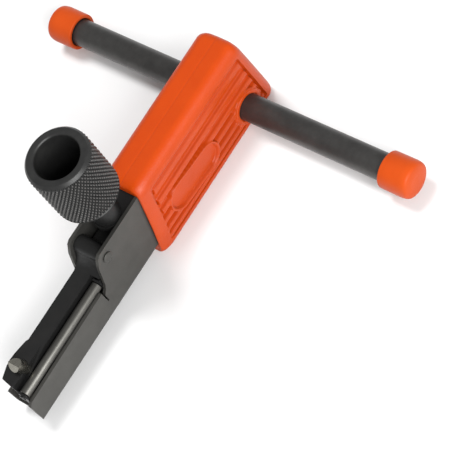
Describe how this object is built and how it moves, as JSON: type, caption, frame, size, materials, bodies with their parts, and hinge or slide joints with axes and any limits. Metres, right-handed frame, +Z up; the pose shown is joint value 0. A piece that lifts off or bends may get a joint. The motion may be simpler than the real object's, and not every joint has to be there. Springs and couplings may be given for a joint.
{
  "type": "deburring tool",
  "caption": "Hand deburring tool with a sprung swing arm in a steel channel, a knurled adjusting knob, a ribbed grip and a T-bar handle.",
  "frame": {"origin": "centre of the bounding box at its bottom, on the surface that the grip's flat underside rests on", "axes": "+X towards the handle end, the cutting tip at -X; the T-bar runs along Y; +Z up along the adjusting screw"},
  "size_m": [0.1802, 0.205, 0.0942],
  "materials": {
    "channel": "satin",
    "grip": "satin",
    "cap": "satin",
    "bar": "satin",
    "arm": "satin",
    "knob": "satin",
    "bright_steel": "satin",
    "cutter": "satin"
  },
  "bodies": {
    "frame": {"channel": "channel", "grip_near_half": "grip", "grip_far_half": "grip", "grip_screw_1": "bright_steel", "grip_screw_2": "bright_steel", "grip_screw_3": "bright_steel", "tee_bar": "bar", "end_cap_near": "cap", "end_cap_far": "cap", "bar_roll_pin": "bright_steel", "pivot_rivet": "channel", "roller_axle": "bright_steel", "roller_bracket_tip": "arm", "roller_bracket_rear": "arm", "bracket_rivet_tip": "bright_steel", "bracket_rivet_rear": "bright_steel", "bridge_plate": "arm", "bridge_pin_front": "bright_steel", "bridge_pin_rear": "bright_steel", "threaded_bush": "arm", "return_spring": "bright_steel", "spring_post": "arm"},
    "foot": {"thrust_foot": "bright_steel"},
    "knob": {"knob": "knob", "adjusting_screw": "arm", "knob_set_screw": "bright_steel"},
    "arm": {"swing_arm": "arm", "cutting_bit": "cutter", "bit_clamp_block": "arm", "bit_set_screw": "bright_steel", "block_screw": "bright_steel"},
    "roller": {"guide_roller": "bright_steel"}
  },
  "joints": [
    {"name": "screw_lift", "type": "slide", "parent": "frame", "child": "foot", "axis": [0, 0, 1], "range_m": [-0.00245, 0.00137]},
    {"name": "knob_turn", "type": "hinge", "parent": "foot", "child": "knob", "pos_m": [-0.00485, 0, 0.06], "axis": [0, 0, 1], "range_deg": [-700, 390]},
    {"name": "arm_swing", "type": "hinge", "parent": "frame", "child": "arm", "pos_m": [-0.02035, 0, 0.0358], "axis": [0, 1, 0], "range_deg": [-5.1, 9.1], "deforming": ["return_spring"]},
    {"name": "roller_spin", "type": "hinge", "parent": "frame", "child": "roller", "pos_m": [-0.05885, -0.00465, 0.0242], "axis": [1, 0, 0], "continuous": true}
  ],
  "couplings": [
    {"joint": "screw_lift", "follows": "knob_turn", "m_per_rad": 0.00019894},
    {"joint": "arm_swing", "follows": "knob_turn", "ratio": -0.012835}
  ]
}
